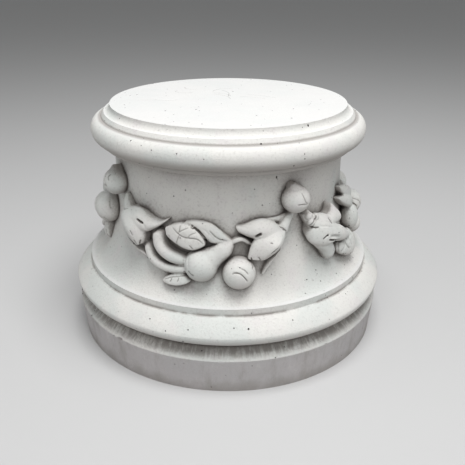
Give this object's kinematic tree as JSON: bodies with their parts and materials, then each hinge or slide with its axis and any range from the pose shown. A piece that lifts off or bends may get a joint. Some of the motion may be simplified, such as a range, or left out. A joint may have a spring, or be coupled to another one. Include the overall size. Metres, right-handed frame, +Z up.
{
  "type": "garden pedestal",
  "caption": "Round cast stone pedestal with turned rolls, a waisted neck and hanging swags of fruit, leaves and flowers; flat on top and below.",
  "frame": {"origin": "on the floor, at the centre of the round underside", "axes": "+Z up the turning axis; -Y faces the middle of a front swag, and the knot fruits sit at 45 degrees between the axes"},
  "size_m": [0.3644, 0.3644, 0.264],
  "materials": {
    "cast_stone": "matte"
  },
  "bodies": {
    "root": {"pedestal": "cast_stone"}
  },
  "joints": []
}
